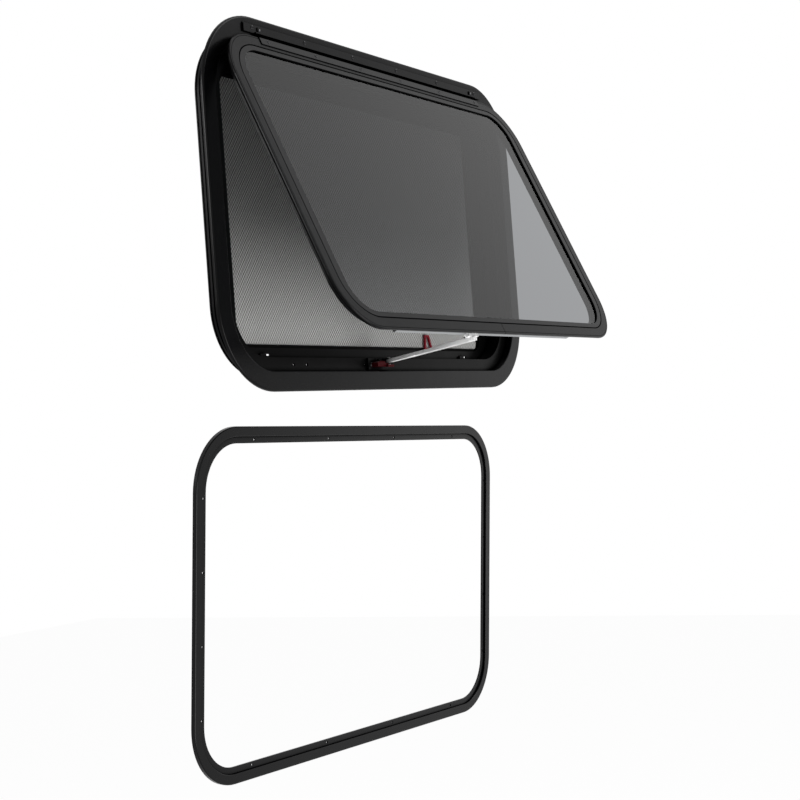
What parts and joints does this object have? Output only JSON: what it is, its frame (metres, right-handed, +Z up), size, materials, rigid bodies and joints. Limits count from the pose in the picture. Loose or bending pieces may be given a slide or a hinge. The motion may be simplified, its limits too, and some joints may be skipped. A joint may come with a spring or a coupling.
{
  "type": "caravan window",
  "caption": "Top-hung caravan window with rounded black frame, tinted glass sash propped open on a stay arm, insect screen and loose inside trim ring",
  "frame": {"origin": "the middle of the bottom leg of the outer flange, on the flat back face that lies against the outside of the wall", "axes": "X to the right as seen from outside, Y from the outside into the caravan, Z up"},
  "size_m": [0.8429, 0.3279, 0.9673],
  "materials": {
    "black_frame": "satin black powder coat",
    "screen_black": "matt black",
    "screen_mesh": "woven grey fibreglass",
    "black_rubber": "matt",
    "black_plastic": "satin",
    "red_plastic": "satin",
    "tinted_glass": "polished, grey tint",
    "mill_aluminium": "mill",
    "bright_steel": "brushed"
  },
  "bodies": {
    "root": {"outer_flange": "black_frame", "wall_sleeve": "black_frame", "seal_seat": "black_frame", "frame_step": "black_frame", "screen_web": "black_frame", "screen_frame": "screen_black", "screen_mesh": "screen_mesh", "screen_spline": "black_rubber", "screen_clips": "black_plastic", "screen_pull_loop": "red_plastic", "weep_cover_left": "black_plastic", "weep_cover_right": "black_plastic", "hinge_rail": "black_frame", "hinge_leaf": "black_frame", "hinge_end_stop_left": "black_plastic", "hinge_end_stop_right": "black_plastic", "sash_frame": "black_frame", "sash_seal": "black_rubber", "glazing_bead": "black_frame", "glazing_gasket": "black_rubber", "glass_pane": "tinted_glass", "sash_track": "mill_aluminium", "track_end_left": "black_plastic", "track_end_right": "black_plastic", "stay_slider": "bright_steel", "stay_arm": "bright_steel", "stay_link": "bright_steel", "stay_rivet": "black_plastic", "stay_base": "black_plastic", "stay_pin": "bright_steel", "stay_lever": "red_plastic", "lever_pin": "black_plastic", "trim_ring": "black_frame"}
  },
  "joints": []
}
